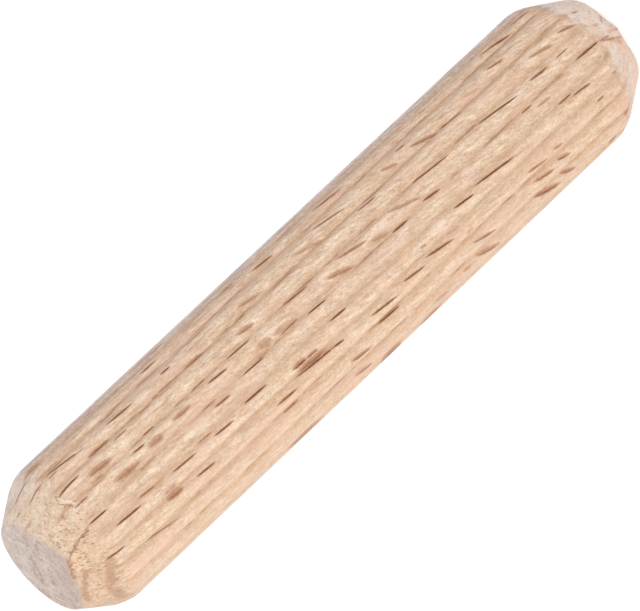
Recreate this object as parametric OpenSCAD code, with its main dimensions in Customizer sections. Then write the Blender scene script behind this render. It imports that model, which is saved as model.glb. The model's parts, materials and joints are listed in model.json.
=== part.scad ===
// Fluted wooden dowel pin with chamfered ends.
// The pin stands on its bottom end: its axis is +Z, and the origin is the
// middle of the bottom end face. A flute faces straight along +X.

/* [Pin] */
// Length over both end faces
pin_length = 40; // [20:1:80]
// Diameter over the crests of the flutes
crest_diameter = 8.1; // [6:0.1:12]

/* [Flutes] */
// Number of flutes around the pin
flute_count = 24; // [16:1:30]
// Depth of each flute below the crests
flute_depth = 0.13; // [0.08:0.01:0.2]
// Width of the crest left at full diameter between two flutes
crest_width = 0.4; // [0.2:0.05:0.5]

/* [Ends] */
// Length of the bottom end's chamfer, along the pin
bottom_chamfer_length = 2.4; // [1.4:0.1:3]
// Length of the top end's chamfer, along the pin
top_chamfer_length = 2.1; // [1.4:0.1:3]
// Depth of both chamfers, measured in from the crests
chamfer_depth = 1.38; // [0.9:0.02:1.6]
// Radius where a chamfer blends into the fluted shank
shoulder_radius = 2.3; // [1:0.1:3]
// Radius where a chamfer blends into its end face
face_edge_radius = 0.35; // [0.2:0.05:0.5]

/* [Hidden] */

beech = [0.88, 0.76, 0.64];

crest_radius = crest_diameter / 2;
valley_radius = crest_radius - flute_depth;
face_radius = crest_radius - chamfer_depth;
flute_pitch = 360 / flute_count;
half_pitch = flute_pitch / 2;
crest_half_angle = crest_width / crest_diameter * 180 / PI;

// Each land between two flutes is one round lobe. Its circle passes through
// the edge of the crest and the bottom of the flute, which sets where its
// centre lies and its radius.
lobe_offset = (crest_radius ^ 2 - valley_radius ^ 2)
    / (2 * (crest_radius * cos(crest_half_angle) - valley_radius * cos(half_pitch)));
lobe_radius = norm([
    crest_radius * cos(crest_half_angle) - lobe_offset,
    crest_radius * sin(crest_half_angle)
]);

// What cuts the pin reaches this far outside it
overcut = 1;
// A blend's circle stands this share of its radius outside the corner's two
// sides, so that it crosses them and does not only touch them
blend_bite = 0.004;
// Segments in a full circle
smooth = 96;

// Unit vector from one point to another
function toward(from, to) = (to - from) / norm(to - from);

// The fluted shank, seen along the pin
module flute_section() {
    intersection() {
        circle(r = crest_radius, $fn = smooth);
        union() {
            circle(r = lobe_offset, $fn = smooth);
            for (i = [0 : flute_count - 1])
                rotate(half_pitch + i * flute_pitch)
                    translate([lobe_offset, 0])
                        circle(r = lobe_radius, $fn = smooth);
        }
    }
}

// Takes the sharp corner off a profile, down to an arc of the given radius.
// side_a and side_b are unit vectors along the corner's two sides.
module corner_cut(corner, side_a, side_b, radius) {
    inward = toward([0, 0], side_a + side_b);
    half_angle = acos(side_a * inward);
    reach = radius / tan(half_angle);
    arc_centre = corner + inward * radius / sin(half_angle);
    end_a = corner + side_a * reach;
    end_b = corner + side_b * reach;
    difference() {
        polygon([
            end_a,
            end_a + toward(arc_centre, end_a) * overcut,
            corner - inward * 2 * overcut,
            end_b + toward(arc_centre, end_b) * overcut,
            end_b
        ]);
        translate(arc_centre - inward * blend_bite * radius)
            circle(r = radius, $fn = smooth);
    }
}

// Half of the outline that an end is turned to, as [radius, distance from
// that end's face], up to the middle of the pin
module end_profile(chamfer_length) {
    face_corner = [face_radius, 0];
    shoulder_corner = [crest_radius, chamfer_length];
    slope = toward(face_corner, shoulder_corner);
    outside = shoulder_corner + slope * overcut;
    difference() {
        polygon([
            [0, 0],
            face_corner,
            outside,
            [outside[0], pin_length / 2],
            [0, pin_length / 2]
        ]);
        corner_cut(face_corner, [-1, 0], slope, face_edge_radius);
        corner_cut(shoulder_corner, -slope, [0, 1], shoulder_radius);
    }
}

// The round blank between its two turned ends, as one solid of revolution
module turned_blank() {
    rotate_extrude($fn = smooth)
        union() {
            end_profile(bottom_chamfer_length);
            translate([0, pin_length])
                mirror([0, 1])
                    end_profile(top_chamfer_length);
        }
}

module dowel_pin() {
    color(beech)
        intersection() {
            linear_extrude(pin_length)
                flute_section();
            turned_blank();
        }
}

dowel_pin();
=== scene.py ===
"""A fluted beech dowel pin that stands on its end, seen from a little above.
The camera is rolled, so that the pin lies across the picture.

Lengths here are in millimetres and angles in degrees, unless a name says
otherwise. Blender's own units are metres. The picture's frame is 640 x 611.
"""
import math

import bpy
import numpy as np
from mathutils import Matrix, Vector, noise
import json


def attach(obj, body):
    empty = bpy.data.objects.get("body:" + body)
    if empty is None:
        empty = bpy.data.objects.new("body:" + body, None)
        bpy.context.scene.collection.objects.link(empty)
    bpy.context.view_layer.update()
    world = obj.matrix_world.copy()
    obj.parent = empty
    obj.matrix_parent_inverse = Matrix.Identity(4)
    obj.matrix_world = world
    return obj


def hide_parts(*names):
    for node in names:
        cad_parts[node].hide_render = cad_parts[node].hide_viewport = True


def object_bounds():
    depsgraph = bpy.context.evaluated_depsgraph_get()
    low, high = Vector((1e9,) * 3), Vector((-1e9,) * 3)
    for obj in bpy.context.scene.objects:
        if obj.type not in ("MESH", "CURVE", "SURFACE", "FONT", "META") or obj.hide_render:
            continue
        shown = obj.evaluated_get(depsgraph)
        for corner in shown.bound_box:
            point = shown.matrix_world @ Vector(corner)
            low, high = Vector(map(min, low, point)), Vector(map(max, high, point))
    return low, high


MM = 0.001

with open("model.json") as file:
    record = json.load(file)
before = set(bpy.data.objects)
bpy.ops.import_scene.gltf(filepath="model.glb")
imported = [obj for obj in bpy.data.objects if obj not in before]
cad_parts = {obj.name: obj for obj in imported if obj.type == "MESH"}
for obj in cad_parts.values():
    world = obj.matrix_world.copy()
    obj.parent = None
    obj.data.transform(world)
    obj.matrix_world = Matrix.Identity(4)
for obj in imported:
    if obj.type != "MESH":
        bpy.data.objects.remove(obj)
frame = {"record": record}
cad_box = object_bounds()

# ---------------------------------------------------------------- the pin
PIN_LENGTH = (cad_box[1].z - cad_box[0].z) / MM
BOX_HALF = cad_box[1].x / MM
# The first mount is the shank, which fits its hole at the crests
CREST_RADIUS = frame["record"]["mounts"][0]["dims"]["r_mm"]
MM_PER_DEGREE = math.radians(1) * CREST_RADIUS
FLUTES = 24
PITCH = 360 / FLUTES
FLUTE_DEPTH = 0.13
CREST_WIDTH = 0.4
BOTTOM_CHAMFER = 2.4
TOP_CHAMFER = 2.1
CHAMFER_DEPTH = 1.38
SHOULDER_RADIUS = 2.3
FACE_EDGE_RADIUS = 0.35

# ------------------------------------------------------------- the camera
# Fitted to the pin's outline in the photograph
VIEW_AZIMUTH = -2.5
VIEW_ELEVATION = 22.3
VIEW_DISTANCE = 399.0
VIEW_LENS = 465.6
SENSOR_WIDTH = 36
NEAR_CLIP = 10
FAR_CLIP = 10000
# The pin's axis rises to the right at this angle in the picture, and its
# middle is this far right of and above the middle of the picture
AXIS_ANGLE = 43.28
MIDDLE_RIGHT = 0.290
MIDDLE_UP = 0.264
# The pin's own angle that faces the camera. Angles "seen" run from it, and
# grow towards the picture's lower right
SEEN_MIDDLE = 270 + VIEW_AZIMUTH


def direction(azimuth, elevation):
    """Unit vector from the pin to what stands at these angles. Azimuth 0 is
    towards -Y, and 90 towards +X."""
    a = math.radians(azimuth)
    e = math.radians(elevation)
    return Vector((math.sin(a) * math.cos(e), -math.cos(a) * math.cos(e), math.sin(e)))


def towards(seen, elevation=0):
    """Unit vector from the pin towards an angle seen."""
    return direction(VIEW_AZIMUTH - seen, elevation)


def picture_axes():
    """The picture's right and up, and the way back to the camera."""
    back = direction(VIEW_AZIMUTH, VIEW_ELEVATION)
    down = Vector((0, 0, -1))
    along = (down - back * down.dot(back)).normalized()
    across = along.cross(back)
    turn = math.radians(AXIS_ANGLE)
    right = along * math.cos(turn) + across * math.sin(turn)
    up = along * math.sin(turn) - across * math.cos(turn)
    return right, up, back


def add_camera():
    right, up, back = picture_axes()
    middle = Vector((0, 0, PIN_LENGTH / 2))
    place = middle + back * VIEW_DISTANCE - right * MIDDLE_RIGHT - up * MIDDLE_UP
    data = bpy.data.cameras.new("camera")
    data.lens = VIEW_LENS
    data.sensor_width = SENSOR_WIDTH
    data.clip_start = NEAR_CLIP * MM
    data.clip_end = FAR_CLIP * MM
    camera = bpy.data.objects.new("camera", data)
    turned = Matrix((right, up, back)).transposed().to_4x4()
    camera.matrix_world = Matrix.Translation(place * MM) @ turned
    bpy.context.scene.collection.objects.link(camera)
    bpy.context.scene.camera = camera


# ------------------------------------------------------------ the outline
# How many steps the outline takes over each of its stretches
FACE_STEPS = 12
FACE_EDGE_STEPS = 7
CHAMFER_STEPS = 22
SHOULDER_STEPS = 24
SHANK_STEPS = 104


def arc(corner, before, after, radius, steps):
    """Points of the arc that rounds a corner between two other points."""
    corner, before, after = (np.array(p, float) for p in (corner, before, after))
    u = (before - corner) / np.linalg.norm(before - corner)
    v = (after - corner) / np.linalg.norm(after - corner)
    half = math.acos(u @ v) / 2
    middle = corner + (u + v) / np.linalg.norm(u + v) * radius / math.sin(half)
    start = corner + u * radius / math.tan(half) - middle
    end = corner + v * radius / math.tan(half) - middle
    a = math.atan2(start[1], start[0])
    b = math.atan2(end[1], end[0])
    sweep = (b - a + math.pi) % (2 * math.pi) - math.pi
    turns = a + sweep * np.linspace(0, 1, steps + 1)
    return middle + radius * np.stack([np.cos(turns), np.sin(turns)], 1)


def line(a, b, steps):
    """Points between two others, without the first and the last."""
    share = np.linspace(0, 1, steps + 1)[1:-1, None]
    return np.array(a) * (1 - share) + np.array(b) * share


def end_outline(chamfer_length):
    """Outline of one end as rows of (distance from the face, radius), from
    near the middle of the face to the start of the shank."""
    face_corner = (0, CREST_RADIUS - CHAMFER_DEPTH)
    shoulder = (chamfer_length, CREST_RADIUS)
    shank = (PIN_LENGTH / 2, CREST_RADIUS)
    face_edge = arc(face_corner, (0, 0), shoulder, FACE_EDGE_RADIUS, FACE_EDGE_STEPS)
    blend = arc(shoulder, face_corner, shank, SHOULDER_RADIUS, SHOULDER_STEPS)
    face = line((0, 0), face_edge[0], FACE_STEPS)
    chamfer = line(face_edge[-1], blend[0], CHAMFER_STEPS)
    return np.vstack([face, face_edge, chamfer, blend])


def pin_outline():
    """Outline of the turned blank as rows of (height, radius), from the
    bottom face to the top one."""
    bottom = end_outline(BOTTOM_CHAMFER)
    top = end_outline(TOP_CHAMFER)[::-1]
    top = np.stack([PIN_LENGTH - top[:, 0], top[:, 1]], 1)
    shank = line(bottom[-1], top[0], SHANK_STEPS)
    return np.vstack([bottom, shank, top])


def lobe():
    """Offset and radius of the round land between two flutes."""
    edge = CREST_WIDTH / 2 / CREST_RADIUS
    edge_x = CREST_RADIUS * math.cos(edge)
    edge_y = CREST_RADIUS * math.sin(edge)
    valley = CREST_RADIUS - FLUTE_DEPTH
    half_pitch = math.radians(PITCH / 2)
    rise = edge_x - valley * math.cos(half_pitch)
    offset = (CREST_RADIUS**2 - valley**2) / (2 * rise)
    return offset, math.hypot(edge_x - offset, edge_y)


# ------------------------------------------------------------- the flutes
# The flutes that the camera sees. Each row is the angle seen of the valley if
# they were evenly spaced, the angle that the cutter gave it, its depth as a
# share of the usual one, how much painted shade the land on its left side and
# the one on its right side get next to it, and how far over the right one that
# painted shade reaches
SEEN_FLUTES = (
    (-77.5, -81, 0.4, 0, 0.7, 1.3), (-62.5, -66.5, 0.8, 0.2, 0.85, 0.9),
    (-47.5, -53.2, 1.1, 0, 0.95, 0.66), (-32.5, -34.8, 1.4, 0, 0.85, 0.48),
    (-17.5, -18.2, 1.2, 0.15, 0.1, 0.4), (-2.5, -2.2, 1.05, 0.1, 0, 0.5),
    (12.5, 13.2, 0.65, 0.9, 0, 0.5), (27.5, 24.1, 0.8, 0, 0.5, 0.75),
    (42.5, 39.4, 1.25, 0, 0.28, 0.85), (57.5, 56.2, 0.95, 0, 0.45, 0.8),
    (72.5, 75, 0.4, 0, 0.45, 1.2),
)
# Between what limits the other flutes are drawn at random: how far the cutter
# shifted them, and then the last four values of a row
OTHER_FLUTES = ((-0.6, 0.6), (0.9, 1.15), (0, 0.5), (0, 1), (0.4, 0.8))
# How far the painted shade on the land on a valley's left side reaches
LEFT_REACH = 0.55
# Over what distances a land's painted shade sets in and fades out
FLANK_START = 0.06
FLANK_END = 0.3
# How much further away a valley of no depth would seem when its painted shade is drawn
SHALLOW_DISTANCE = 0.2

# -------------------------------------------------------------- the ends
# Radius of each face's edge, which is uneven, at some angles seen
TOP_EDGE = (
    (-180, 2.67), (-90, 2.68), (-72, 2.65), (-55, 2.58), (-36, 2.4), (-12, 2.75), (2, 3.2),
    (9, 3.3), (22, 2.75), (37, 2.4), (55, 2.6), (90, 2.6), (180, 2.67),
)
BOTTOM_EDGE = (
    (-180, 2.67), (-90, 2.72), (-50, 2.67), (-30, 2.55), (-15, 2.42), (2, 2.68),
    (14, 2.44), (27, 2.42), (50, 2.58), (90, 2.57), (125, 2.6), (180, 2.67),
)
# The unevenness fades out over this length of the shank
EDGE_FADE = 0.6
# How much deeper than elsewhere the ends cut before their texture shows, at
# some angles seen
TOP_START = (
    (-180, 0), (-90, 0.07), (-15, 0.07), (0, 0.17), (15, 0.22), (30, 0.18), (46, 0.15),
    (60, 0.05), (85, 0.03), (180, 0),
)
BOTTOM_START = (
    (-180, 0), (-60, 0.15), (-34, 0.1), (-24, 0.2), (-18, 0.34), (7, 0.32), (15, 0.18),
    (23, 0.04), (34, 0.08), (55, 0.02), (180, 0),
)
# Where the cut is deeper than this, the surface is as rough as an end's
END_CUT = 0.1
# Half the depth of the small waves and of the broad ones in the chewed ends,
# and of the fibres in the side
SMALL_CHEW = 0.012
BROAD_CHEW = 0.018
FIBRE_DEPTH = 0.006
# The faces are smooth to this far from their edge
FACE_INSET = 0.25

# ------------------------------------------------------------- the flecks
# Beech has rays: thin sheets of tissue, all of which lie about the same way in
# a pin. They show as narrow dark spindles where the surface cuts across them,
# and as broad patches where it runs along them. They point to this angle seen
RAY_ANGLE = -36
# The flecks that the photograph shows. Each row is height, angle seen, length,
# width, tilt and strength. A fleck with a positive tilt runs towards larger
# angles on its way down. A negative strength makes it pale, as torn fibres are.
FLECKS = (
    # top third
    (36.9, -49.0, 1.3, 0.09, 0, 0.6), (37.4, -44.7, 0.6, 0.08, 0, 0.6),
    (36.75, -42.4, 0.5, 0.12, 0, 0.3), (35.85, -43.6, 0.7, 0.09, 2, 0.5),
    (33.3, -50.6, 1.1, 0.10, 1, 0.75), (32.95, -43.6, 1.6, 0.19, 4, 0.95),
    (29.7, -43.9, 0.65, 0.14, 2, 0.8), (34.95, -35.6, 1.4, 0.16, 1, 0.7),
    (31.1, -34.8, 0.45, 0.11, 4, 0.6), (28.35, -34.3, 1.3, 0.20, 3, 0.8),
    (31.95, -32.3, 0.9, 0.07, 0, 0.6), (30.4, -31.3, 1.5, 0.07, 1, 0.45),
    (37.45, -29.2, 1.5, 0.14, 0, 0.95), (33.8, -30.0, 0.9, 0.09, 1, 0.65),
    (35.75, -23.0, 1.5, 0.36, 4, 0.62), (32.7, -18.6, 0.8, 0.07, 1, 0.7),
    (29.3, -18.2, 1.0, 0.08, 0, 0.65), (36.55, -16.0, 0.8, 0.06, 3, 0.5),
    (37.65, -14.1, 0.8, 0.07, 2, 0.7), (33.75, -13.7, 0.75, 0.10, 4, 0.8),
    (28.35, -13.0, 1.25, 0.13, 4, 0.8), (31.0, -11.5, 1.2, 0.28, 3, 0.6),
    (32.9, -9.7, 0.95, 0.42, 0, 0.56), (35.0, -7.7, 1.7, 0.34, 4, 0.6),
    (29.7, -2.6, 0.8, 0.08, 2, 0.5), (37.6, 1.1, 1.1, 0.10, 2, 0.95),
    (29.05, 1.8, 1.0, 0.13, 3, 0.75), (35.7, 7.0, 1.0, 0.30, 5, 0.25),
    (34.95, 11.5, 1.0, 0.10, 5, 0.65), (36.4, 14.8, 1.6, 0.12, 3, 0.95),
    (34.55, 16.5, 0.55, 0.08, 0, 0.35), (32.55, 14.6, 1.5, 0.10, 3, 0.75),
    (30.95, 11.7, 0.9, 0.10, 4, 0.55), (29.9, 16.0, 1.2, 0.12, 4, 0.8),
    (33.9, 21.3, 1.0, 0.25, 2, 0.5), (33.85, 26.0, 1.1, 0.38, 2, 0.62),
    (31.85, 28.7, 1.2, 0.13, 4, 0.8), (37.95, 29.0, 1.0, 0.11, -3, 0.8),
    (35.9, 39.8, 3.2, 0.07, 8, 0.6), (34.4, 54.8, 1.4, 0.07, 12, 0.5),
    # top third, towards the left edge. The first row is no ray fleck but painted
    # shadow under the pale torn fibres near height 38
    (38.13, -18.8, 0.5, 0.08, 66, 0.5), (38.67, -68.2, 1.3, 0.09, 27, 0.6),
    (38.5, -50.4, 0.95, 0.09, 16, 0.6), (39.5, -61.6, 0.35, 0.10, 43, 0.6),
    (33.7, -75.5, 3.0, 0.14, 1, 0.5), (36.55, -45.7, 2.3, 0.11, 9, 0.8),
    (37.6, -68.0, 1.3, 0.34, 4, 0.5), (34.9, -63.5, 2.0, 0.20, 1, 0.6),
    (33.2, -70.0, 0.8, 0.25, 0, 0.35), (31.9, -65.0, 1.1, 0.20, 3, 0.45),
    (29.85, -65.0, 0.8, 0.16, 0, 0.45), (28.7, -64.5, 0.7, 0.15, 2, 0.5),
    (28.8, -72.5, 1.3, 0.30, 2, 0.55), (29.9, -59.5, 1.1, 0.20, 3, 0.85),
    (35.6, -76.0, 2.0, 0.16, 2, 0.55), (29.6, -74.0, 2.6, 0.16, 1, 0.55),
    # middle third
    (24.05, -67.0, 0.9, 0.16, 0, 0.5), (23.1, -65.0, 1.1, 0.13, 3, 0.4),
    (26.95, -61.7, 0.9, 0.16, 0, 0.45), (22.05, -57.5, 1.4, 0.22, 6, 0.85),
    (17.25, -59.8, 1.8, 0.20, 9, 0.95), (27.7, -48.3, 2.4, 0.08, 1, 0.55),
    (25.5, -48.0, 0.8, 0.07, 0, 0.4), (19.2, -50.7, 0.6, 0.09, 0, 0.6),
    (18.25, -43.0, 1.95, 0.13, 12, 0.7), (24.15, -38.8, 1.5, 0.20, 9, 0.55),
    (20.1, -37.5, 1.9, 0.18, 13, 0.5), (25.25, -33.7, 0.8, 0.10, 5, 0.6),
    (22.3, -32.5, 1.4, 0.08, 0, 0.65), (15.9, -33.0, 1.5, 0.10, 3, 0.6),
    (16.5, -30.2, 1.2, 0.10, 4, 0.75), (27.1, -28.0, 0.8, 0.14, 0, 0.25),
    (25.6, -24.0, 1.1, 0.28, 8, 0.6), (26.55, -17.2, 1.5, 0.10, 2, 0.85),
    (22.55, -17.0, 1.5, 0.09, 4, 0.85), (18.9, -13.2, 1.8, 0.18, 11, 0.65),
    (25.5, -7.4, 1.0, 0.42, 5, 0.5), (24.1, -5.8, 1.5, 0.32, 6, 0.45),
    (24.0, -3.9, 1.2, 0.07, 1, 0.7), (20.1, -7.0, 1.6, 0.26, 17, 0.6),
    (17.4, -6.5, 1.2, 0.26, 15, 0.5), (21.2, -3.8, 0.6, 0.06, 0, 0.4),
    (16.2, -2.0, 1.0, 0.09, 3, 0.85), (26.65, -1.2, 1.4, 0.08, 2, 0.85),
    (22.2, -1.0, 1.2, 0.09, 4, 0.85), (27.55, 13.8, 1.5, 0.11, 2, 0.9),
    (21.65, 13.0, 1.1, 0.10, 3, 0.9), (24.8, 19.2, 0.95, 0.30, 1, 0.85),
    (24.0, 20.2, 0.8, 0.18, 3, 0.7), (24.0, 26.6, 2.8, 0.18, 4, 0.85),
    (24.1, 24.4, 2.0, 0.42, 5, 0.65), (22.6, 28.3, 0.9, 0.12, 6, 0.9),
    (26.3, 31.0, 1.4, 0.14, 3, 0.85), (19.45, 31.5, 1.75, 0.15, 6, 0.9),
    (17.2, 29.3, 1.4, 0.14, 7, 0.8), (26.3, 40.2, 1.0, 0.11, 1, 0.6),
    (19.4, 40.4, 1.5, 0.18, 2, 0.85), (21.7, 49.0, 1.3, 0.26, 10, 0.7),
    (19.1, 55.5, 1.5, 0.16, 1, 0.5), (21.75, 64.8, 1.3, 0.34, 14, 0.62),
    (25.8, 78.5, 2.4, 0.5, 3, 0.6), (19.7, 79.5, 1.5, 0.9, 3, 0.75),
    (16.8, 80.0, 1.6, 0.45, 2, 0.7), (16.2, 66.0, 1.1, 0.36, 10, 0.45),
    (24.0, -74.0, 3.4, 0.16, 1, 0.5), (19.2, -75.5, 1.8, 0.16, 1, 0.55),
    # bottom third
    (15.45, -51.3, 0.9, 0.13, 4, 0.7), (12.95, -45.5, 0.6, 0.10, 3, 0.65),
    (14.15, -40.0, 1.0, 0.18, 20, 0.6), (11.85, -37.3, 1.7, 0.18, 15, 0.65),
    (10.15, -33.8, 1.3, 0.10, 8, 0.75), (5.2, -58.0, 1.9, 0.22, 13, 1.0),
    (8.5, -48.0, 1.0, 0.07, 3, 0.4), (7.3, -50.4, 0.6, 0.07, 0, 0.4),
    (6.35, -42.0, 1.0, 0.15, 13, 0.7), (8.4, -38.8, 1.1, 0.16, 15, 0.35),
    (4.4, -24.5, 1.5, 0.22, 14, 0.6), (2.5, -24.0, 1.2, 0.20, 10, 0.65),
    (12.95, -17.0, 2.3, 0.10, 6, 0.85), (8.3, -14.6, 2.5, 0.11, 8, 0.95),
    (5.4, -13.2, 1.2, 0.15, 5, 0.85), (15.3, -11.0, 2.0, 0.20, 18, 0.55),
    (13.9, -3.0, 1.1, 0.12, 7, 0.85), (7.15, -1.0, 0.7, 0.08, 2, 0.7),
    (6.25, 3.5, 0.9, 0.14, 4, 0.5), (5.3, 12.2, 0.9, 0.09, 2, 0.8),
    (4.25, 15.3, 1.1, 0.10, 6, 0.75), (12.85, 15.7, 1.3, 0.12, 6, 0.9),
    (14.45, 10.5, 1.1, 0.10, 8, 0.3), (14.2, 26.0, 0.9, 0.12, 8, 0.35),
    (10.6, 15.0, 2.6, 0.13, 6, 1.0), (16.0, 19.0, 0.4, 0.13, 4, 0.5),
    (15.3, 28.5, 1.8, 0.15, 9, 0.85), (8.5, 34.5, 1.4, 0.16, 9, 0.65),
    (7.0, 34.5, 0.7, 0.16, 12, 0.6), (13.4, 35.3, 0.5, 0.12, 2, 0.4),
    (12.8, 48.0, 1.6, 0.20, 16, 0.7), (8.4, 45.0, 1.4, 0.20, 12, 0.75),
    (6.95, 44.5, 0.9, 0.22, 17, 0.7), (12.75, 63.0, 1.8, 0.38, 24, 0.65),
    (8.4, 60.0, 1.9, 0.32, 19, 0.75), (6.9, 60.0, 1.1, 0.26, 27, 0.65),
    (4.4, 51.0, 0.9, 0.16, 7, 0.4), (14.3, 62.0, 0.6, 0.24, 10, 0.5),
    (3.75, -12.6, 0.8, 0.08, 2, 0.65), (3.7, 30.0, 0.5, 0.10, 0, 0.65),
    (3.2, -61.0, 1.4, 0.18, 9, 0.7), (4.5, -74.0, 0.6, 0.20, 0, 0.4),
    (3.6, 75.0, 0.6, 0.35, 0, 0.6), (14.5, -73.5, 2.8, 0.16, 2, 0.5),
    # bottom shoulder and chamfer
    (2.6, -2.0, 1.7, 0.15, 3, 1.0), (2.2, 24.0, 0.3, 0.12, 0, 0.5),
    (2.1, 10.5, 0.45, 0.12, -11, 0.35), (2.5, 58.0, 0.5, 0.2, 0, 0.6),
    (1.12, -35.8, 0.38, 0.13, 8, 0.6), (0.28, -17.6, 0.75, 0.12, -60, 0.45),
    (1.25, 0.1, 0.8, 0.12, 8, 0.55), (0.05, 2.2, 0.6, 0.10, 7, 0.4),
    (1.1, 3.2, 1.3, 0.16, 28, 0.5), (0.2, 11.3, 1.1, 0.18, 37, 0.4),
    # pale torn fibres
    (38.17, -27.0, 0.45, 0.10, 80, -0.45), (38.0, -20.0, 0.55, 0.11, 68, -0.6),
    (31.0, 2.6, 1.7, 0.5, 3, -0.3), (14.75, 16.5, 1.2, 0.45, 3, -0.4),
    (12.6, 20.0, 1.8, 0.45, 3, -0.3), (1.5, -43.0, 0.6, 0.35, 0, -0.5),
    (1.5, -33.0, 0.5, 0.40, 0, -0.7),
)
# On the sides that the photograph does not show, flecks are drawn at random:
# so many, this far at least from each end, and between these angles seen
HIDDEN_FLECKS = 230
HIDDEN_FROM_BOTTOM = 2.4
HIDDEN_FROM_TOP = 2.2
HIDDEN_SIDE = (84, 276)
# Limits of the length, width and strength of thin ones and of broad ones
THIN_FLECK = ((0.5, 2.0), (0.07, 0.2), (0.35, 0.9))
BROAD_FLECK = ((0.7, 1.3), (0.25, 0.5), (0.3, 0.5))
# Where the surface runs along the rays by at least the first share, the second
# share of them are broad
BROAD_FROM = 0.75
BROAD_SHARE = 0.7
# How widely their tilts spread about that of the grain
TILT_SPREAD = 2
# How far the grain winds round the pin in each millimetre, in radians: this
# much at the top end, and this much more with each millimetre further down
TOP_WIND = 0.010
WIND_GROWTH = 0.00072
# Rays that show on the ends. Each row is the distance from the axis, across
# the rays, the width, from where to where along the ray, and the strength
TOP_RAYS = (
    (2.35, 0.10, 0.8, 3.15, 0.95), (2.68, 0.18, -0.9, 1.25, 0.65),
    (3.45, 0.30, -1.7, 1.65, 0.65), (1.04, 0.18, 3.1, 3.7, 0.6),
    (-1.90, 0.10, 2.7, 3.3, 0.7), (-1.97, 0.14, 2.2, 2.6, 0.5),
    (-0.86, 0.10, 3.2, 3.95, 0.75), (-1.75, 0.12, 3.4, 3.65, 0.8),
    (-0.4, 0.14, 2.45, 2.8, 0.7),
)
BOTTOM_RAYS = (
    (2.06, 0.16, 1.6, 3.1, 0.5), (1.95, 0.16, 2.55, 3.0, 0.4), (1.1, 0.22, 2.7, 2.95, 0.45),
    (0.08, 0.22, 3.3, 3.55, 0.55), (1.66, 0.16, 2.1, 2.5, 0.4),
)


def grain_tilt(z):
    """How far the grain leans from the pin's axis at a height: little at the
    top end, and more and more towards the bottom end."""
    wind = TOP_WIND + WIND_GROWTH * (PIN_LENGTH - z)
    return math.degrees(math.atan(wind * CREST_RADIUS))


def hidden_flecks(rng):
    """Flecks for the sides that the photograph does not show."""
    rows = []
    for _ in range(HIDDEN_FLECKS):
        z = rng.uniform(HIDDEN_FROM_BOTTOM, PIN_LENGTH - HIDDEN_FROM_TOP)
        seen = rng.uniform(*HIDDEN_SIDE)
        along_rays = abs(math.sin(math.radians(seen - RAY_ANGLE)))
        broad = along_rays > BROAD_FROM and rng.random() < BROAD_SHARE
        limits = BROAD_FLECK if broad else THIN_FLECK
        length, width, strength = [rng.uniform(low, high) for low, high in limits]
        tilt = grain_tilt(z) + rng.normal(0, TILT_SPREAD)
        rows.append((z, seen, length, width, tilt, strength))
    return rows


# --------------------------------------------------------------- the mesh
SEED = 7
# How far apart in the noise the ripples of two seeds are taken
SEED_STEP = 7.3
COLUMNS_PER_FLUTE = 16
COLUMNS = FLUTES * COLUMNS_PER_FLUTE
# A fleck fades out at this share of its length, and of its width and a little
# more, from its middle
FLECK_HALF = 0.55
FLECK_SPREAD = 0.01
# What a face holds that is in no fleck: a place far outside one, and strength 0
NO_FLECK = (9, 9, 0)
# How far from a fleck's middle, in such shares, faces still belong to it: the
# square root of the first along it, and the second across it. A thin fleck is
# narrower than the faces, so the third over its width is added across it
FACES_ALONG_SQUARED = 2.2
FACES_ACROSS = 1.8
FACES_ACROSS_THIN = 0.14
# Up to the first width a fleck is drawn as a thin one, and from the second on
# as a broad one
THIN_WIDTH = 0.1
BROAD_WIDTH = 0.2


def turned_back(angles):
    """The same angles, between -180 and 180."""
    return (angles + 180) % 360 - 180


def within_fleck(fleck, at_z, at_seen):
    """Where places lie within a fleck, along it and across it, with its ends
    and edges at 1 and -1."""
    z, seen, length, width, tilt, _ = fleck
    lean = math.radians(tilt)
    down = z - at_z
    aside = turned_back(at_seen - seen) * MM_PER_DEGREE
    along = down * math.cos(lean) + aside * math.sin(lean)
    across = aside * math.cos(lean) - down * math.sin(lean)
    return along / (length * FLECK_HALF), across / (width * FLECK_HALF + FLECK_SPREAD)


def fleck_layers(mesh, corner_z, corner_seen, flecks, spare_corners):
    """Stores at each face corner where it lies within the face's own fleck,
    as (along, across, strength), and how broad the fleck is, from 0 to 1. The
    shader draws flecks much finer than the mesh from it. The spare corners
    are the last ones, which have no fleck."""
    faces = len(corner_z)
    middle_z = corner_z.mean(1)
    middle_seen = corner_seen[:, 0] + turned_back(corner_seen - corner_seen[:, :1]).mean(1)
    best = np.zeros(faces)
    place = np.tile(np.array(NO_FLECK, np.float32), (faces, 4, 1))
    breadth = np.zeros((faces, 4), np.float32)
    for fleck in flecks:
        _, _, _, width, _, strength = fleck
        along, across = within_fleck(fleck, middle_z, middle_seen)
        reach = FACES_ACROSS + FACES_ACROSS_THIN / width
        nearness = 1 - along**2 / FACES_ALONG_SQUARED - np.abs(across) / reach
        mine = np.nonzero(nearness > best)[0]
        best[mine] = nearness[mine]
        along, across = within_fleck(fleck, corner_z[mine], corner_seen[mine])
        place[mine, :, 0] = along
        place[mine, :, 1] = across
        place[mine, :, 2] = strength
        breadth[mine] = np.clip((width - THIN_WIDTH) / (BROAD_WIDTH - THIN_WIDTH), 0, 1)
    place = np.vstack([place.reshape(-1, 3), np.tile(NO_FLECK, (spare_corners, 1))])
    breadth = np.append(breadth.ravel(), np.zeros(spare_corners))
    layer = mesh.attributes.new("fleck", "FLOAT_VECTOR", "CORNER")
    layer.data.foreach_set("vector", place.astype(np.float32).ravel())
    layer = mesh.attributes.new("breadth", "FLOAT", "CORNER")
    layer.data.foreach_set("value", breadth.astype(np.float32))


def point_layer(mesh, name, values):
    layer = mesh.attributes.new(name, "FLOAT", "POINT")
    layer.data.foreach_set("value", np.asarray(values, np.float32))


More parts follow.
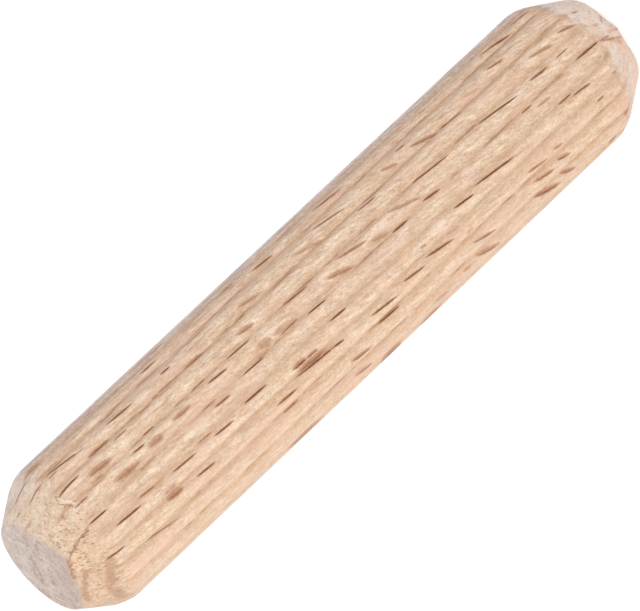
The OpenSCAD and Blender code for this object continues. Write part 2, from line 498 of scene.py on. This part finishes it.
def ripple(points, per_mm, stretch, seed):
    """Smooth noise from -1 to 1 at each point, drawn out along the pin."""
    rows = points * per_mm
    rows[:, 2] /= stretch
    rows += seed * SEED_STEP
    return np.array([noise.noise(Vector(row)) for row in rows])


def flute_values(rng):
    """Of each flute: how far it is shifted, how deep it is, how much painted
    shade the lands on its left and right get, and how far the right one's
    painted shade reaches."""
    values = np.array([rng.uniform(low, high, FLUTES) for low, high in OTHER_FLUTES])
    for even, real, *others in SEEN_FLUTES:
        flute = round((SEEN_MIDDLE - even) % 360 / PITCH) % FLUTES
        values[:, flute] = (even - real, *others)
    return values


def painted_flank_fade(distance, reach):
    """How the painted shade beside a valley fades with the distance from it."""
    start = np.clip(distance / FLANK_START, 0, 1)
    return start * np.clip((reach - distance) / FLANK_END, 0, 1)


def flute_columns(rng):
    """Of each column of points: its angle, its radius, its distance from the
    valley and how much painted shade it gets, if it lies on a land's flank."""
    shift, depth, left_painted_shade, right_painted_shade, reach = flute_values(rng)
    even = np.arange(COLUMNS) * 360 / COLUMNS
    starts = np.arange(FLUTES + 1) * PITCH
    shift = np.interp(even, starts, np.append(shift, shift[0]))
    column_depth = np.interp(even, starts, np.append(depth, depth[0]))
    phi = np.radians(even % PITCH - PITCH / 2)
    offset, radius = lobe()
    land = offset * np.cos(phi) + np.sqrt(radius**2 - (offset * np.sin(phi))**2)
    land = CREST_RADIUS - (CREST_RADIUS - np.minimum(land, CREST_RADIUS)) * column_depth
    # Seen from outside with the top end down, a land's left valley is the one
    # at the larger angle
    before = np.ceil(even / PITCH)
    from_left = (before * PITCH - even) * MM_PER_DEGREE
    from_right = PITCH * MM_PER_DEGREE - from_left
    before = before.astype(int) % FLUTES
    after = (before - 1) % FLUTES
    # Painted shade on the lands' flanks beside each valley
    painted_flank_shade = right_painted_shade[before] * painted_flank_fade(from_left, reach[before])
    painted_flank_shade += left_painted_shade[after] * painted_flank_fade(from_right, LEFT_REACH)
    # A shallow valley gets less painted shade, as if it were further away
    further = SHALLOW_DISTANCE * np.clip(1 - depth, 0, 1)
    valley = np.minimum(from_left + further[before], from_right + further[after])
    return even + shift, land, valley, painted_flank_shade


def uneven_face(from_axis, seen, edge_radii, near):
    """By what to multiply points' distances from the axis, so that a face gets
    its uneven edge. The chamfer follows it and the shank stays. It begins
    where near is 0, and is full from where that reaches EDGE_FADE."""
    even_edge = CREST_RADIUS - CHAMFER_DEPTH
    edge = np.interp(turned_back(seen), *np.array(edge_radii).T)
    on_face = from_axis * edge / even_edge
    inset = (CREST_RADIUS - from_axis) * (CREST_RADIUS - edge) / (CREST_RADIUS - even_edge)
    moved = np.where(from_axis < even_edge, on_face, CREST_RADIUS - inset)
    share = np.clip(near / EDGE_FADE, 0, 1) * (from_axis < CREST_RADIUS)
    return 1 + share * (moved / from_axis - 1)


def cut_marks(points, from_axis, cut):
    """By what to multiply points' distances from the axis, so that the ends
    are rough from the cutter and the side is fibrous. It only goes inward, so
    that nothing grows past the cut surface."""
    on_end = np.clip(cut / END_CUT, 0, 1)
    chewed = ripple(points, per_mm=5.5, stretch=1, seed=1) * SMALL_CHEW
    chewed += ripple(points, per_mm=2.2, stretch=1, seed=2) * BROAD_CHEW
    chewed -= SMALL_CHEW + BROAD_CHEW
    fibrous = ripple(points, per_mm=4, stretch=8, seed=3) * FIBRE_DEPTH
    fibrous -= FIBRE_DEPTH
    inward = on_end * chewed + (1 - on_end) * fibrous
    inward[from_axis < CREST_RADIUS - CHAMFER_DEPTH - FACE_INSET] = 0
    return 1 + inward / from_axis


def pin_faces(rings):
    """The faces of the side, with four corners each, and the triangles that
    close the ends round two last points, the bottom's and then the top's."""
    ring = np.arange(rings - 1)[:, None] * COLUMNS
    here = np.arange(COLUMNS)[None, :]
    there = (here + 1) % COLUMNS
    above = ring + COLUMNS
    quads = np.stack([ring + here, ring + there, above + there, above + here], -1)
    bottom_middle = rings * COLUMNS
    top_middle = bottom_middle + 1
    last = (rings - 1) * COLUMNS
    pairs = list(zip(here[0].tolist(), there[0].tolist()))
    fans = [[bottom_middle, b, a] for a, b in pairs]
    fans += [[top_middle, last + a, last + b] for a, b in pairs]
    return quads.reshape(-1, 4), fans


def worn_points(radius, turn, z, seen, cut):
    """The points of the pin, as the cutter left them, with its uneven faces.
    The last two are the middles of the bottom face and of the top one."""
    points = np.stack([radius * np.cos(turn), radius * np.sin(turn), z], -1).reshape(-1, 3)
    height = points[:, 2]
    from_axis = np.hypot(points[:, 0], points[:, 1])
    near_top = height - PIN_LENGTH + TOP_CHAMFER + EDGE_FADE
    near_bottom = BOTTOM_CHAMFER + EDGE_FADE - height
    points[:, :2] *= cut_marks(points, from_axis, cut)[:, None]
    out = uneven_face(from_axis, seen, TOP_EDGE, near_top)
    out *= uneven_face(from_axis, seen, BOTTOM_EDGE, near_bottom)
    points[:, :2] *= out[:, None]
    # Nothing stands out past the solid's own box
    points[:, :2] = np.clip(points[:, :2], -BOX_HALF, BOX_HALF)
    return np.vstack([points, [[0, 0, 0], [0, 0, PIN_LENGTH]]])


def build_pin():
    rng = np.random.default_rng(SEED)
    angles, land, valley, painted_flank_shade = flute_columns(rng)
    outline = pin_outline()
    rings = len(outline)
    z = np.repeat(outline[:, :1], COLUMNS, 1)
    blank = np.repeat(outline[:, 1:], COLUMNS, 1)
    turn = np.radians(angles) + 0 * z
    seen = (SEEN_MIDDLE - angles + 0 * z).ravel()
    # How far below the fluted surface the ends are cut
    cut = land - blank
    points = worn_points(np.minimum(blank, land), turn, z, seen, cut.ravel())

    quads, fans = pin_faces(rings)
    mesh = bpy.data.meshes.new("dowel")
    mesh.from_pydata((points * MM).tolist(), [], quads.tolist() + fans)
    mesh.shade_smooth()
    flecks = list(FLECKS) + hidden_flecks(rng)
    fleck_layers(mesh, z.ravel()[quads], seen[quads], flecks, 3 * len(fans))
    # The last two values of each layer are for the middles of the faces
    column_seen = turned_back(SEEN_MIDDLE - angles)
    bottom_start = np.interp(column_seen, *np.array(BOTTOM_START).T)
    top_start = np.interp(column_seen, *np.array(TOP_START).T)
    start = np.where(z > PIN_LENGTH / 2, top_start, bottom_start)
    point_layer(mesh, "cut", np.append(cut - start, [1, 1]))
    point_layer(mesh, "valley", np.append(np.tile(valley, rings), [1, 1]))
    point_layer(mesh, "painted_flank_shade", np.append(np.tile(painted_flank_shade, rings), [0, 0]))
    pin = bpy.data.objects.new("dowel", mesh)
    bpy.context.scene.collection.objects.link(pin)
    return pin


# ------------------------------------------------------- the wood's looks
def colour(red, green, blue):
    """An opaque colour in linear light. Parts above 1 are only for colours
    that multiply another."""
    return (red, green, blue, 1)


# The side, from its darkest fibres to its palest ones, and its drifts
SIDE_DARK = colour(0.50, 0.29, 0.17)
SIDE_PALE = colour(0.985, 0.79, 0.595)
SIDE_YELLOW = colour(0.88, 0.55, 0.31)
SIDE_ROSY = colour(0.90, 0.69, 0.59)
SIDE_PINK = colour(0.82, 0.53, 0.41)
GRIT_DARKENS = colour(0.62, 0.50, 0.42)
GRIT_LIGHTENS = colour(1.29, 1.38, 1.45)
# Painted grey sheen down the left side, standing in for cool light and grazing
# reflection, with darker veins and specks in it
PAINTED_SHEEN_GREY = colour(0.77, 0.655, 0.63)
GREY_VEIN = colour(0.47, 0.33, 0.32)
SPECK_DARKENS = colour(0.72, 0.68, 0.66)
SPECK_LIGHTENS = colour(1.26, 1.30, 1.31)
# The flutes' painted shade: on the lands' flanks, broad in the valleys, and a
# thin line of painted crease shadow
PAINTED_FLANK_SHADE = colour(0.45, 0.245, 0.125)
PAINTED_VALLEY_SHADE = colour(0.54, 0.30, 0.165)
PAINTED_VALLEY_LINE = colour(0.26, 0.09, 0.03)
# The flecks
FLECK_BODY = colour(0.45, 0.20, 0.10)
FLECK_CORE = colour(0.165, 0.052, 0.014)
TORN_FIBRES = colour(0.98, 0.82, 0.68)
# The chamfers. The top one is nearer to the camera, and browner
TOP_DARK = colour(0.44, 0.25, 0.14)
TOP_PALE = colour(0.94, 0.725, 0.53)
TOP_COOL = colour(0.86, 0.77, 0.61)
# Painted shade on the lower side of the top chamfer
TOP_PAINTED_SHADE = colour(0.74, 0.50, 0.34)
BOTTOM_DARK = colour(0.60, 0.43, 0.32)
BOTTOM_PALE = colour(0.99, 0.862, 0.755)
BOTTOM_COOL = colour(0.89, 0.815, 0.755)
BOTTOM_STREAK = colour(0.86, 0.58, 0.43)
END_ROSY = colour(0.90, 0.66, 0.53)
END_PORE = colour(0.44, 0.21, 0.09)
# Painted grey sheen on the ends' left side, standing in for cool light and grazing reflection
END_PAINTED_SHEEN = colour(0.76, 0.65, 0.60)
END_RAY = colour(0.47, 0.22, 0.13)
# The faces
FACE_DARK = colour(0.64, 0.40, 0.32)
FACE_PALE = colour(1.0, 0.865, 0.775)
# Painted light on the faces' upper side, painted shade on their lower side, and painted shade on
# the top face's rounded rim
FACE_PAINTED_LIGHT = colour(1.0, 0.88, 0.79)
FACE_PAINTED_SHADE = colour(0.70, 0.52, 0.455)
FACE_RIM_PAINTED_SHADE = colour(0.60, 0.42, 0.34)

# A stripe of painted grey sheen, standing in for cool light and grazing
# reflection, runs down the left of what the camera sees, with its middle at
# this angle seen
PAINTED_SHEEN_ANGLE = -82
# The line of a ray is whole up to the first share of its width from its middle
# and gone at the second. At its ends it fades over this length to both sides
RAY_WHOLE = 0.2
RAY_GONE = 0.75
RAY_FADE = 0.15
# The wood's gloss, sheen and relief
ROUGHNESS = 0.65
SPECULAR = 0.2
SHEEN = 0.12
SHEEN_ROUGHNESS = 0.3
BUMP_STRENGTH = 0.5
BUMP_HEIGHT = 0.05


# ------------------------------------------------------------ the finishes
class Nodes:
    """Builds a node tree in short calls. A value may be a number, a vector, a
    colour or the output of another node. Most calls give the one output that
    counts, while vector, split and layer give them all."""

    def __init__(self, tree):
        self.tree = tree

    def put(self, kind, values=(), **settings):
        node = self.tree.nodes.new(kind)
        for name, setting in settings.items():
            setattr(node, name, setting)
        for socket, value in values:
            if isinstance(value, bpy.types.NodeSocket):
                self.tree.links.new(value, node.inputs[socket])
            else:
                node.inputs[socket].default_value = value
        return node

    def math(self, operation, *values):
        return self.put("ShaderNodeMath", enumerate(values), operation=operation).outputs[0]

    def vector(self, operation, *values):
        return self.put("ShaderNodeVectorMath", enumerate(values), operation=operation).outputs

    def split(self, vector):
        return self.put("ShaderNodeSeparateXYZ", [(0, vector)]).outputs

    def turned(self, vector, angle):
        """The same place, turned about the pin's axis by an angle in radians."""
        values = (("Vector", vector), ("Angle", angle))
        return self.put("ShaderNodeVectorRotate", values, rotation_type="Z_AXIS").outputs[0]

    def noise(self, place, per_mm, detail, rough, shift=None):
        """Smooth noise about one half, with so many waves in a millimetre
        along each axis. A shift takes it from elsewhere."""
        place = self.vector("MULTIPLY", place, per_mm)[0]
        if shift:
            place = self.vector("ADD", place, shift)[0]
        values = (("Vector", place), ("Scale", 1), ("Detail", detail), ("Roughness", rough))
        return self.put("ShaderNodeTexNoise", values).outputs["Fac"]

    def rise(self, value, low, high, to_low=0, to_high=1):
        """Goes smoothly from one value to the other as the input rises."""
        values = enumerate((value, low, high, to_low, to_high))
        return self.put("ShaderNodeMapRange", values, interpolation_type="SMOOTHSTEP").outputs[0]

    def mix(self, share, a, b, blend="MIX"):
        values = ((0, share), (6, a), (7, b))
        return self.put("ShaderNodeMix", values, data_type="RGBA", blend_type=blend).outputs[2]

    def mix_value(self, share, a, b):
        return self.put("ShaderNodeMix", [(0, share), (2, a), (3, b)]).outputs[0]

    def swing(self, value, *parts):
        """Adds to a value what each noise swings about one half, times its weight."""
        for part, weight in parts:
            value = self.math("MULTIPLY_ADD", self.math("SUBTRACT", part, 0.5), weight, value)
        return value

    def layer(self, name):
        return self.put("ShaderNodeAttribute", attribute_name=name).outputs


def winding_grain(n, mm):
    """The place in millimetres, turned so that the fibres run along Z. The
    grain winds round the pin, as grain_tilt() has it."""
    down = n.math("SUBTRACT", PIN_LENGTH, n.split(mm)[2])
    wind = n.math("MULTIPLY_ADD", down, WIND_GROWTH / 2, TOP_WIND)
    return n.turned(mm, n.math("MULTIPLY", down, wind))


def share_towards(n, mm, seen):
    """How far a place lies from the axis towards an angle seen, as a share of
    the crests' radius."""
    return n.vector("DOT_PRODUCT", mm, towards(seen) / CREST_RADIUS)[1]


def by_half(n, mm, bottom, top):
    """One value in the bottom half of the pin and another in the top half."""
    return n.rise(n.split(mm)[2], PIN_LENGTH / 2 - 1, PIN_LENGTH / 2 + 1, bottom, top)


def side_grain(n, mm, grain):
    """Colour and height of the fluted side: short fibres, soft mottling, drifts
    of yellower and pinker wood, and a painted grey sheen down its left side."""
    fibre = n.noise(grain, (5.5, 5.5, 0.7), 3, 0.6)
    mottle = n.noise(grain, (6, 6, 1.9), 4, 0.7)
    fine = n.noise(grain, (12, 12, 7), 3, 0.8)
    cloud = n.noise(grain, (1.8, 1.8, 0.45), 3, 0.6)
    # The grain is bolder where the surface cuts across the rays
    lie = share_towards(n, mm, RAY_ANGLE)
    bold = n.math("MULTIPLY_ADD", n.math("MULTIPLY", lie, lie), 0.55, 0.62)
    tone = n.swing(0, (fibre, 1.15), (mottle, 0.8), (cloud, 0.5))
    tone = n.math("MULTIPLY_ADD", tone, bold, 0.61)
    side = n.mix(tone, SIDE_DARK, SIDE_PALE)
    warm = n.noise(grain, (3.5, 3.5, 0.9), 3, 0.6, shift=(3, 17, 8))
    side = n.mix(n.rise(warm, 0.36, 0.5, 0.22, 0), side, SIDE_YELLOW)
    side = n.mix(n.rise(warm, 0.5, 0.64, 0, 0.25), side, SIDE_ROSY)
    grit = n.swing(0.5, (fine, 1.25), (mottle, 0.6))
    side = n.mix(1, side, n.mix(grit, GRIT_DARKENS, GRIT_LIGHTENS), "MULTIPLY")
    pink = n.noise(grain, (0.8, 0.8, 0.3), 2, 0.5, shift=(31, 7, 3))
    side = n.mix(n.rise(pink, 0.45, 0.7, 0, 0.35), side, SIDE_PINK)
    side = painted_sheen_stripe(n, mm, grain, cloud, side)
    return side, n.swing(0, (fibre, 0.6), (mottle, 1), (fine, 0.5))


def painted_sheen_stripe(n, mm, grain, cloud, side):
    """Paints the stripe of grey sheen, which stands in for cool light and
    grazing reflection, with its veins and specks.
    """
    edge = n.swing(share_towards(n, mm, PAINTED_SHEEN_ANGLE), (cloud, 0.05))
    # Painted grey sheen towards the left side, standing in for cool light and grazing reflection
    side = n.mix(n.rise(edge, 0.94, 0.99, 0, 0.36), side, PAINTED_SHEEN_GREY)
    veins = n.noise(grain, (4.5, 4.5, 0.6), 4, 0.65, shift=(5, 2, 8))
    veins = n.math("MULTIPLY", n.rise(veins, 0.46, 0.62, 0, 0.6), n.rise(edge, 0.91, 0.98))
    side = n.mix(veins, side, GREY_VEIN)
    speck = n.swing(0.5, (n.noise(grain, (4, 4, 5), 3, 0.7), 2.6))
    speck = n.mix(speck, SPECK_DARKENS, SPECK_LIGHTENS)
    return n.mix(n.rise(edge, 0.85, 0.98, 0, 0.8), side, speck, "MULTIPLY")


def flute_marks(n, grain, side, height):
    """Paints shade on the lands' flanks and in the valleys: broad and soft,
    with a thin broken line of painted crease shadow inside."""
    wander = n.noise(grain, (2.5, 2.5, 0.9), 3, 0.6)
    broken = n.noise(grain, (1.2, 1.2, 0.5), 3, 0.7)
    valley = n.math("ABSOLUTE", n.swing(n.layer("valley")["Fac"], (wander, 0.14)))
    line = n.math("MULTIPLY", n.rise(valley, 0, 0.08, 1, 0), n.rise(broken, 0.46, 0.62, 0, 0.55))
    # Painted shade on the lands' flanks beside the valleys
    painted_flank_shade = n.math("MULTIPLY", n.layer("painted_flank_shade")["Fac"], n.rise(wander, 0.3, 0.6, 0.2, 0.4))
    side = n.mix(painted_flank_shade, side, PAINTED_FLANK_SHADE)
    # Painted shade in the valleys, and a thin broken line of painted shadow in their creases
    side = n.mix(n.rise(valley, 0, 0.38, 0.35, 0), side, PAINTED_VALLEY_SHADE)
    side = n.mix(line, side, PAINTED_VALLEY_LINE)
    return side, n.math("MULTIPLY_ADD", line, -1.0, height)


def fleck_marks(n, grain, side, height):
    """Draws the rays' flecks, each a soft spindle with a dark core, and pale
    torn fibres where the strength is below 0."""
    along, across, strength = n.split(n.layer("fleck")["Vector"])
    breadth = n.layer("breadth")["Fac"]
    ragged = n.noise(grain, (12, 12, 4), 4, 0.75)
    streak = n.noise(grain, (14, 14, 5), 3, 0.7)
    taper = n.math("MULTIPLY_ADD", breadth, -1.6, 4.2)
    half_width = n.math("SUBTRACT", 1.0, n.math("POWER", n.math("ABSOLUTE", along), taper))
    unevenness = n.math("MULTIPLY_ADD", breadth, 0.5, 0.7)
    ragged = n.math("MULTIPLY", n.math("SUBTRACT", ragged, 0.5), unevenness)
    across = n.math("ADD", across, ragged)
    inside = n.math("SUBTRACT", half_width, n.math("ABSOLUTE", across))
    # The core of a broad fleck lies off its middle and takes less of its width
    off_core = n.math("ABSOLUTE", n.math("MULTIPLY_ADD", breadth, -0.3, across))
    in_core = n.math("MULTIPLY", off_core, n.math("MULTIPLY_ADD", breadth, -0.9, -1.1))
    in_core = n.math("ADD", in_core, half_width)
    body = n.math("MULTIPLY", n.rise(inside, -0.4, 0.7), n.rise(streak, 0.3, 0.65, 0.55, 1))
    body = n.math("MULTIPLY", body, n.rise(strength, 0, 0.8))
    core = n.math("MULTIPLY", n.rise(in_core, -0.1, 0.8), n.rise(strength, 0.35, 0.95, 0, 0.95))
    torn = n.math("MULTIPLY", n.rise(inside, -0.3, 0.5), n.rise(strength, -1, 0, 1, 0))
    side = n.mix(body, side, FLECK_BODY)
    side = n.mix(core, side, FLECK_CORE)
    side = n.mix(torn, side, TORN_FIBRES)
    height = n.math("MULTIPLY_ADD", core, -1.0, height)
    return side, n.math("MULTIPLY_ADD", torn, 1.5, height)


class EndPlace:
    """What the texture of the ends is worked out from: where a place lies
    along the rays, across them and in from the nearer face, which end it is
    on, and noises. The rows of pores run across the rays, as growth rings do."""

    def __init__(self, n, mm):
        rows = n.turned(mm, -math.radians(SEEN_MIDDLE - RAY_ANGLE))
        middle = PIN_LENGTH / 2
        self.rows = rows
        self.along, across, z = n.split(rows)
        self.across = n.math("MULTIPLY", across, -1.0)
        from_middle = n.math("ABSOLUTE", n.math("SUBTRACT", z, middle))
        self.inset = n.math("SUBTRACT", middle, from_middle)
        self.top = by_half(n, rows, 0, 1)
        self.bottom = n.math("SUBTRACT", 1.0, self.top)
        self.patch = n.noise(rows, (2.5, 2.5, 1.5), 3, 0.65, shift=(2, 6, 1))
        self.pores = n.noise(rows, (9, 2.4, 2.4), 4, 0.75)
        self.grit = n.noise(rows, (12, 9, 8), 3, 0.8, shift=(5, 5, 5))
        self.drift = n.noise(rows, (1.5, 1.2, 1.1), 4, 0.65, shift=(11, 4, 9))
        self.dashes = n.noise(rows, (15, 4, 4), 2, 0.6, shift=(9, 2, 4))
        self.bent = n.swing(self.across, (self.patch, 0.35), (self.pores, 0.25))


def chamfer_colour(n, at):
    """Rows of open pores, in wood that drifts between rosy and cool. The top
    chamfer is browner than the bottom one, and has painted shade on its lower side."""
    tone = n.swing(0, (at.pores, 1.1), (at.grit, 1.5), (at.patch, 1.1))
    tone = n.math("MULTIPLY_ADD", tone, n.rise(at.across, -0.5, 2.8, 0.7, 1.35), 0.62)
    soft = n.swing(0.56, (at.pores, 0.9), (at.grit, 1.2), (at.patch, 0.9))
    end = n.mix(at.top, n.mix(soft, BOTTOM_DARK, BOTTOM_PALE), n.mix(tone, TOP_DARK, TOP_PALE))
    rosy = n.rise(at.drift, 0.48, 0.66, 0, n.mix_value(at.top, 0.6, 0.35))
    end = n.mix(rosy, end, END_ROSY)
    cool = n.rise(at.drift, 0.34, 0.52, n.mix_value(at.top, 0.65, 0.35), 0)
    end = n.mix(cool, end, n.mix(at.top, BOTTOM_COOL, TOP_COOL))
    # Painted shade towards the top chamfer's lower side
    painted_lower_shade = n.math("MULTIPLY", at.top, n.rise(at.across, 1.4, 3.0, 0, 0.4))
    end = n.mix(painted_lower_shade, end, TOP_PAINTED_SHADE)
    streaks = n.noise(at.rows, (6, 6, 1.4), 3, 0.7, shift=(3, 9, 6))
    streaks = n.math("MULTIPLY", at.bottom, n.rise(streaks, 0.5, 0.62, 0, 0.45))
    end = n.mix(streaks, end, BOTTOM_STREAK)
    # The pores on the top chamfer darken towards its lower side, as painted shade
    deepest = n.mix_value(at.top, 0.3, n.rise(at.across, -1.0, 2.2, 0.4, 1))
    return n.mix(n.rise(at.dashes, 0.55, 0.68, 0, deepest), end, END_PORE)


def face_colour(n, at):
    """Smoother and greyer wood than on the chamfers, paler on the upper side as
    painted light and darker on the lower side as painted shade, with painted
    shade on the top face's rounded rim."""
    mottle = n.noise(at.rows, (5, 3.5, 3), 4, 0.7, shift=(7, 1, 3))
    tone = n.swing(0.64, (mottle, 3.6), (at.patch, 2.2), (at.grit, 2.0), (at.drift, 3.6))
    face = n.mix(tone, FACE_DARK, FACE_PALE)
    # Painted light on the upper side and painted shade on the lower side
    face = n.mix(n.rise(at.across, -2.6, 0, 0.4, 0), face, FACE_PAINTED_LIGHT)
    face = n.mix(n.rise(at.across, 0.3, 1.8, 0, 0.4), face, FACE_PAINTED_SHADE)
    # Painted shade on the top face's rounded rim
    painted_rim_shade = n.math("MULTIPLY", n.rise(at.inset, 0.0, 0.05), n.rise(at.inset, 0.08, 0.34, 0.5, 0))
    return n.mix(n.math("MULTIPLY", painted_rim_shade, at.top), face, FACE_RIM_PAINTED_SHADE)


def ray_lines(n, at, rays):
    """How strongly rays show at a place on an end."""
    lines = 0.0
    for across, width, low, high, strength in rays:
        off = n.math("ABSOLUTE", n.math("SUBTRACT", at.bent, across))
        line = n.rise(off, width * RAY_WHOLE, width * RAY_GONE, strength, 0)
        begun = n.rise(at.along, low - RAY_FADE, low + RAY_FADE)
        unended = n.rise(at.along, high - RAY_FADE, high + RAY_FADE, 1, 0)
        line = n.math("MULTIPLY", n.math("MULTIPLY", line, begun), unended)
        lines = n.math("MAXIMUM", lines, line)
    return n.math("MULTIPLY", lines, n.rise(at.grit, 0.38, 0.6, 0.45, 1))


def end_grain(n, mm):
    """Colour and height of the ends: the chamfers, the faces, whose texture
    runs on a little over their edges, and rays, which are grooves too."""
    at = EndPlace(n, mm)
    on_face = n.rise(n.swing(at.inset, (at.patch, 1.1), (at.pores, 0.5)), -0.14, 0.34, 0.9, 0)
    end = n.mix(on_face, chamfer_colour(n, at), face_colour(n, at))
    # Painted grey sheen on the ends' left side, as on the side's stripe
    edge = share_towards(n, mm, PAINTED_SHEEN_ANGLE)
    end = n.mix(n.rise(edge, 0.7, 0.92, 0, 0.26), end, END_PAINTED_SHEEN)
    top_lines = n.math("MULTIPLY", at.top, ray_lines(n, at, TOP_RAYS))
    bottom_lines = n.math("MULTIPLY", at.bottom, ray_lines(n, at, BOTTOM_RAYS))
    lines = n.math("ADD", top_lines, bottom_lines)
    end = n.mix(lines, end, END_RAY)
    height = n.swing(0, (at.pores, 1.2), (at.grit, 0.9), (at.dashes, -0.8))
    height = n.math("MULTIPLY", height, n.mix_value(at.top, 0.4, 1.0))
    return end, n.math("MULTIPLY_ADD", lines, -1.5, height)


def end_share(n, mm):
    """0 on the side and 1 on the ends. The ends' texture begins where the
    chamfer cuts below the flutes, a little later at the bottom end."""
    chewed = n.noise(mm, (5, 5, 3), 4, 0.7)
    wobble = n.noise(mm, (1.8, 1.8, 1.5), 2, 0.5, shift=(4, 8, 2))
    cut = n.swing(n.layer("cut")["Fac"], (chewed, 0.35), (wobble, 0.4))
    bottom = by_half(n, mm, 1, 0)
    return n.rise(cut, n.mix_value(bottom, -0.03, 0.02), n.mix_value(bottom, 0.12, 0.34))


def beech():
    material = bpy.data.materials.new("beech")
    material.use_nodes = True
    tree = material.node_tree
    shader = tree.nodes["Principled BSDF"]
    n = Nodes(tree)
    place = n.put("ShaderNodeTexCoord").outputs["Object"]
    mm = n.vector("MULTIPLY", place, (1 / MM, 1 / MM, 1 / MM))[0]
    grain = winding_grain(n, mm)
    side, side_height = side_grain(n, mm, grain)
    side, side_height = flute_marks(n, grain, side, side_height)
    end, end_height = end_grain(n, mm)
    on_end = end_share(n, mm)
    wood = n.mix(on_end, side, end)
    height = n.mix_value(on_end, side_height, end_height)
    wood, height = fleck_marks(n, grain, wood, height)
    bump = (("Strength", BUMP_STRENGTH), ("Distance", BUMP_HEIGHT * MM), ("Height", height))
    tree.links.new(n.put("ShaderNodeBump", bump).outputs[0], shader.inputs["Normal"])
    tree.links.new(wood, shader.inputs["Base Color"])
    shader.inputs["Roughness"].default_value = ROUGHNESS
    shader.inputs["Specular IOR Level"].default_value = SPECULAR
    shader.inputs["Sheen Weight"].default_value = SHEEN
    shader.inputs["Sheen Roughness"].default_value = SHEEN_ROUGHNESS
    return material


# ---------------------------------------------------- the floor and lights
FLOOR_HALF = 1500
FLOOR_COLOUR = colour(0.8, 0.8, 0.8)
# How much the floor adds to what the camera sees of it, so that it looks white
# and still holds the pin's shadow
FLOOR_GLOW = 0.47
WARM = (1.0, 0.985, 0.975)
COOL = (0.76, 0.88, 1.0)
BLUE = (0.60, 0.73, 1.0)
# Each row is the angle seen and the elevation that a lamp shines from, its
# power in watts and its tint
LAMPS = (
    (15, 10, 1.7, WARM), (102, 11, 1.43, WARM), (-98, 43, 0.98, COOL),
    (-136, 12, 0.62, BLUE), (-55, 10, 0.35, WARM),
)
LAMP_SIZE = 300
LAMP_DISTANCE = 500
# How strongly the world lights the pin
AMBIENT = 0.3


def add_floor():
    mesh = bpy.data.meshes.new("floor")
    half = FLOOR_HALF * MM
    corners = [(-half, -half, 0), (half, -half, 0), (half, half, 0), (-half, half, 0)]
    mesh.from_pydata(corners, [], [(0, 1, 2, 3)])
    floor = bpy.data.objects.new("floor", mesh)
    bpy.context.scene.collection.objects.link(floor)
    material = bpy.data.materials.new("floor")
    material.use_nodes = True
    material.node_tree.nodes.clear()
    n = Nodes(material.node_tree)
    camera_ray = n.put("ShaderNodeLightPath").outputs["Is Camera Ray"]
    strength = n.math("MULTIPLY", camera_ray, FLOOR_GLOW)
    glow = n.put("ShaderNodeEmission", [("Strength", strength)]).outputs[0]
    matt = n.put("ShaderNodeBsdfDiffuse", [("Color", FLOOR_COLOUR)]).outputs[0]
    both = n.put("ShaderNodeAddShader", enumerate((matt, glow))).outputs[0]
    n.put("ShaderNodeOutputMaterial", [("Surface", both)])
    mesh.materials.append(material)


def add_world():
    """A world that looks white and lights the pin softly from all sides."""
    world = bpy.data.worlds.new("studio")
    bpy.context.scene.world = world
    world.use_nodes = True
    n = Nodes(world.node_tree)
    background = world.node_tree.nodes["Background"]
    background.inputs["Color"].default_value = colour(1, 1, 1)
    ray = n.put("ShaderNodeLightPath").outputs
    looked_at = n.math("MAXIMUM", ray["Is Camera Ray"], ray["Is Glossy Ray"])
    strength = n.mix_value(looked_at, AMBIENT, 1.0)
    world.node_tree.links.new(strength, background.inputs["Strength"])


def add_lamps():
    middle = Vector((0, 0, PIN_LENGTH / 2))
    for number, (seen, elevation, power, tint) in enumerate(LAMPS):
        way = towards(seen, elevation)
        data = bpy.data.lights.new("lamp%d" % number, "AREA")
        data.size = LAMP_SIZE * MM
        data.energy = power
        data.color = tint
        lamp = bpy.data.objects.new("lamp%d" % number, data)
        lamp.location = middle * MM + way * (LAMP_DISTANCE * MM)
        lamp.rotation_euler = way.to_track_quat("Z", "Y").to_euler()
        lamp.visible_camera = False
        bpy.context.scene.collection.objects.link(lamp)


bpy.context.scene.view_settings.view_transform = "Standard"
add_camera()
add_world()
add_lamps()
add_floor()
pin = build_pin()
pin.data.materials.append(beech())
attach(pin, "root")
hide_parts("dowel_pin")
